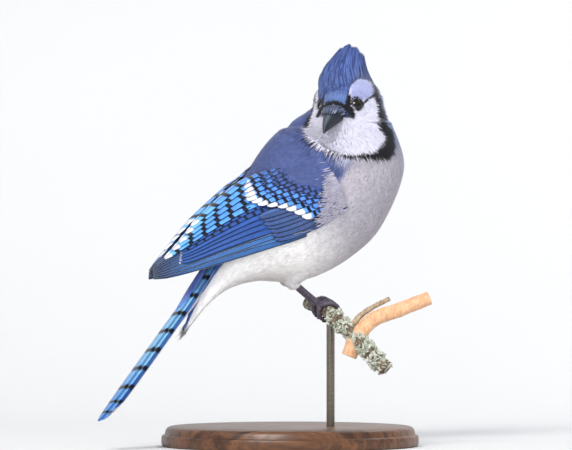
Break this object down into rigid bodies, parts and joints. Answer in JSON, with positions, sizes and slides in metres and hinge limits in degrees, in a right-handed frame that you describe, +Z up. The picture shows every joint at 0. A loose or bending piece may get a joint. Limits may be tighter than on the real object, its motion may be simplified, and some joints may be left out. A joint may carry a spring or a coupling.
{
  "type": "blue jay model",
  "caption": "Still, life-size blue jay gripping a short cut length of branch, its head turned over its shoulder, on a round wooden base with a rod.",
  "frame": {"origin": "centre of the round base's flat underside", "axes": "+Z up; +X the way the bird's body faces as seen in side view; -Y the side its face is turned to"},
  "size_m": [0.2002, 0.156, 0.2448],
  "materials": {
    "blue_plumage": "matte",
    "white_plumage": "matte",
    "black_plumage": "matte",
    "bill_horn": "satin",
    "eye_gloss": "gloss",
    "leg_scale": "satin",
    "claw_horn": "satin",
    "bark": "rough",
    "base_wood": "satin",
    "rod_metal": "satin"
  },
  "bodies": {
    "root": {"claw_left_1": "claw_horn", "claw_left_2": "claw_horn", "claw_left_3": "claw_horn", "claw_left_back": "claw_horn", "claw_right_1": "claw_horn", "claw_right_2": "claw_horn", "claw_right_3": "claw_horn", "claw_right_back": "claw_horn", "eye_left": "eye_gloss", "eye_right": "eye_gloss", "foot_left": "leg_scale", "foot_right": "leg_scale", "head": "blue_plumage", "lower_bill": "bill_horn", "neck": "black_plumage", "perch": "bark", "stand_base": "base_wood", "stand_rod": "rod_metal", "tail": "blue_plumage", "tarsus_left": "leg_scale", "tarsus_right": "leg_scale", "thigh_left": "white_plumage", "thigh_right": "white_plumage", "torso": "white_plumage", "upper_bill": "bill_horn", "wing_left": "blue_plumage", "wing_right": "blue_plumage"}
  },
  "joints": []
}
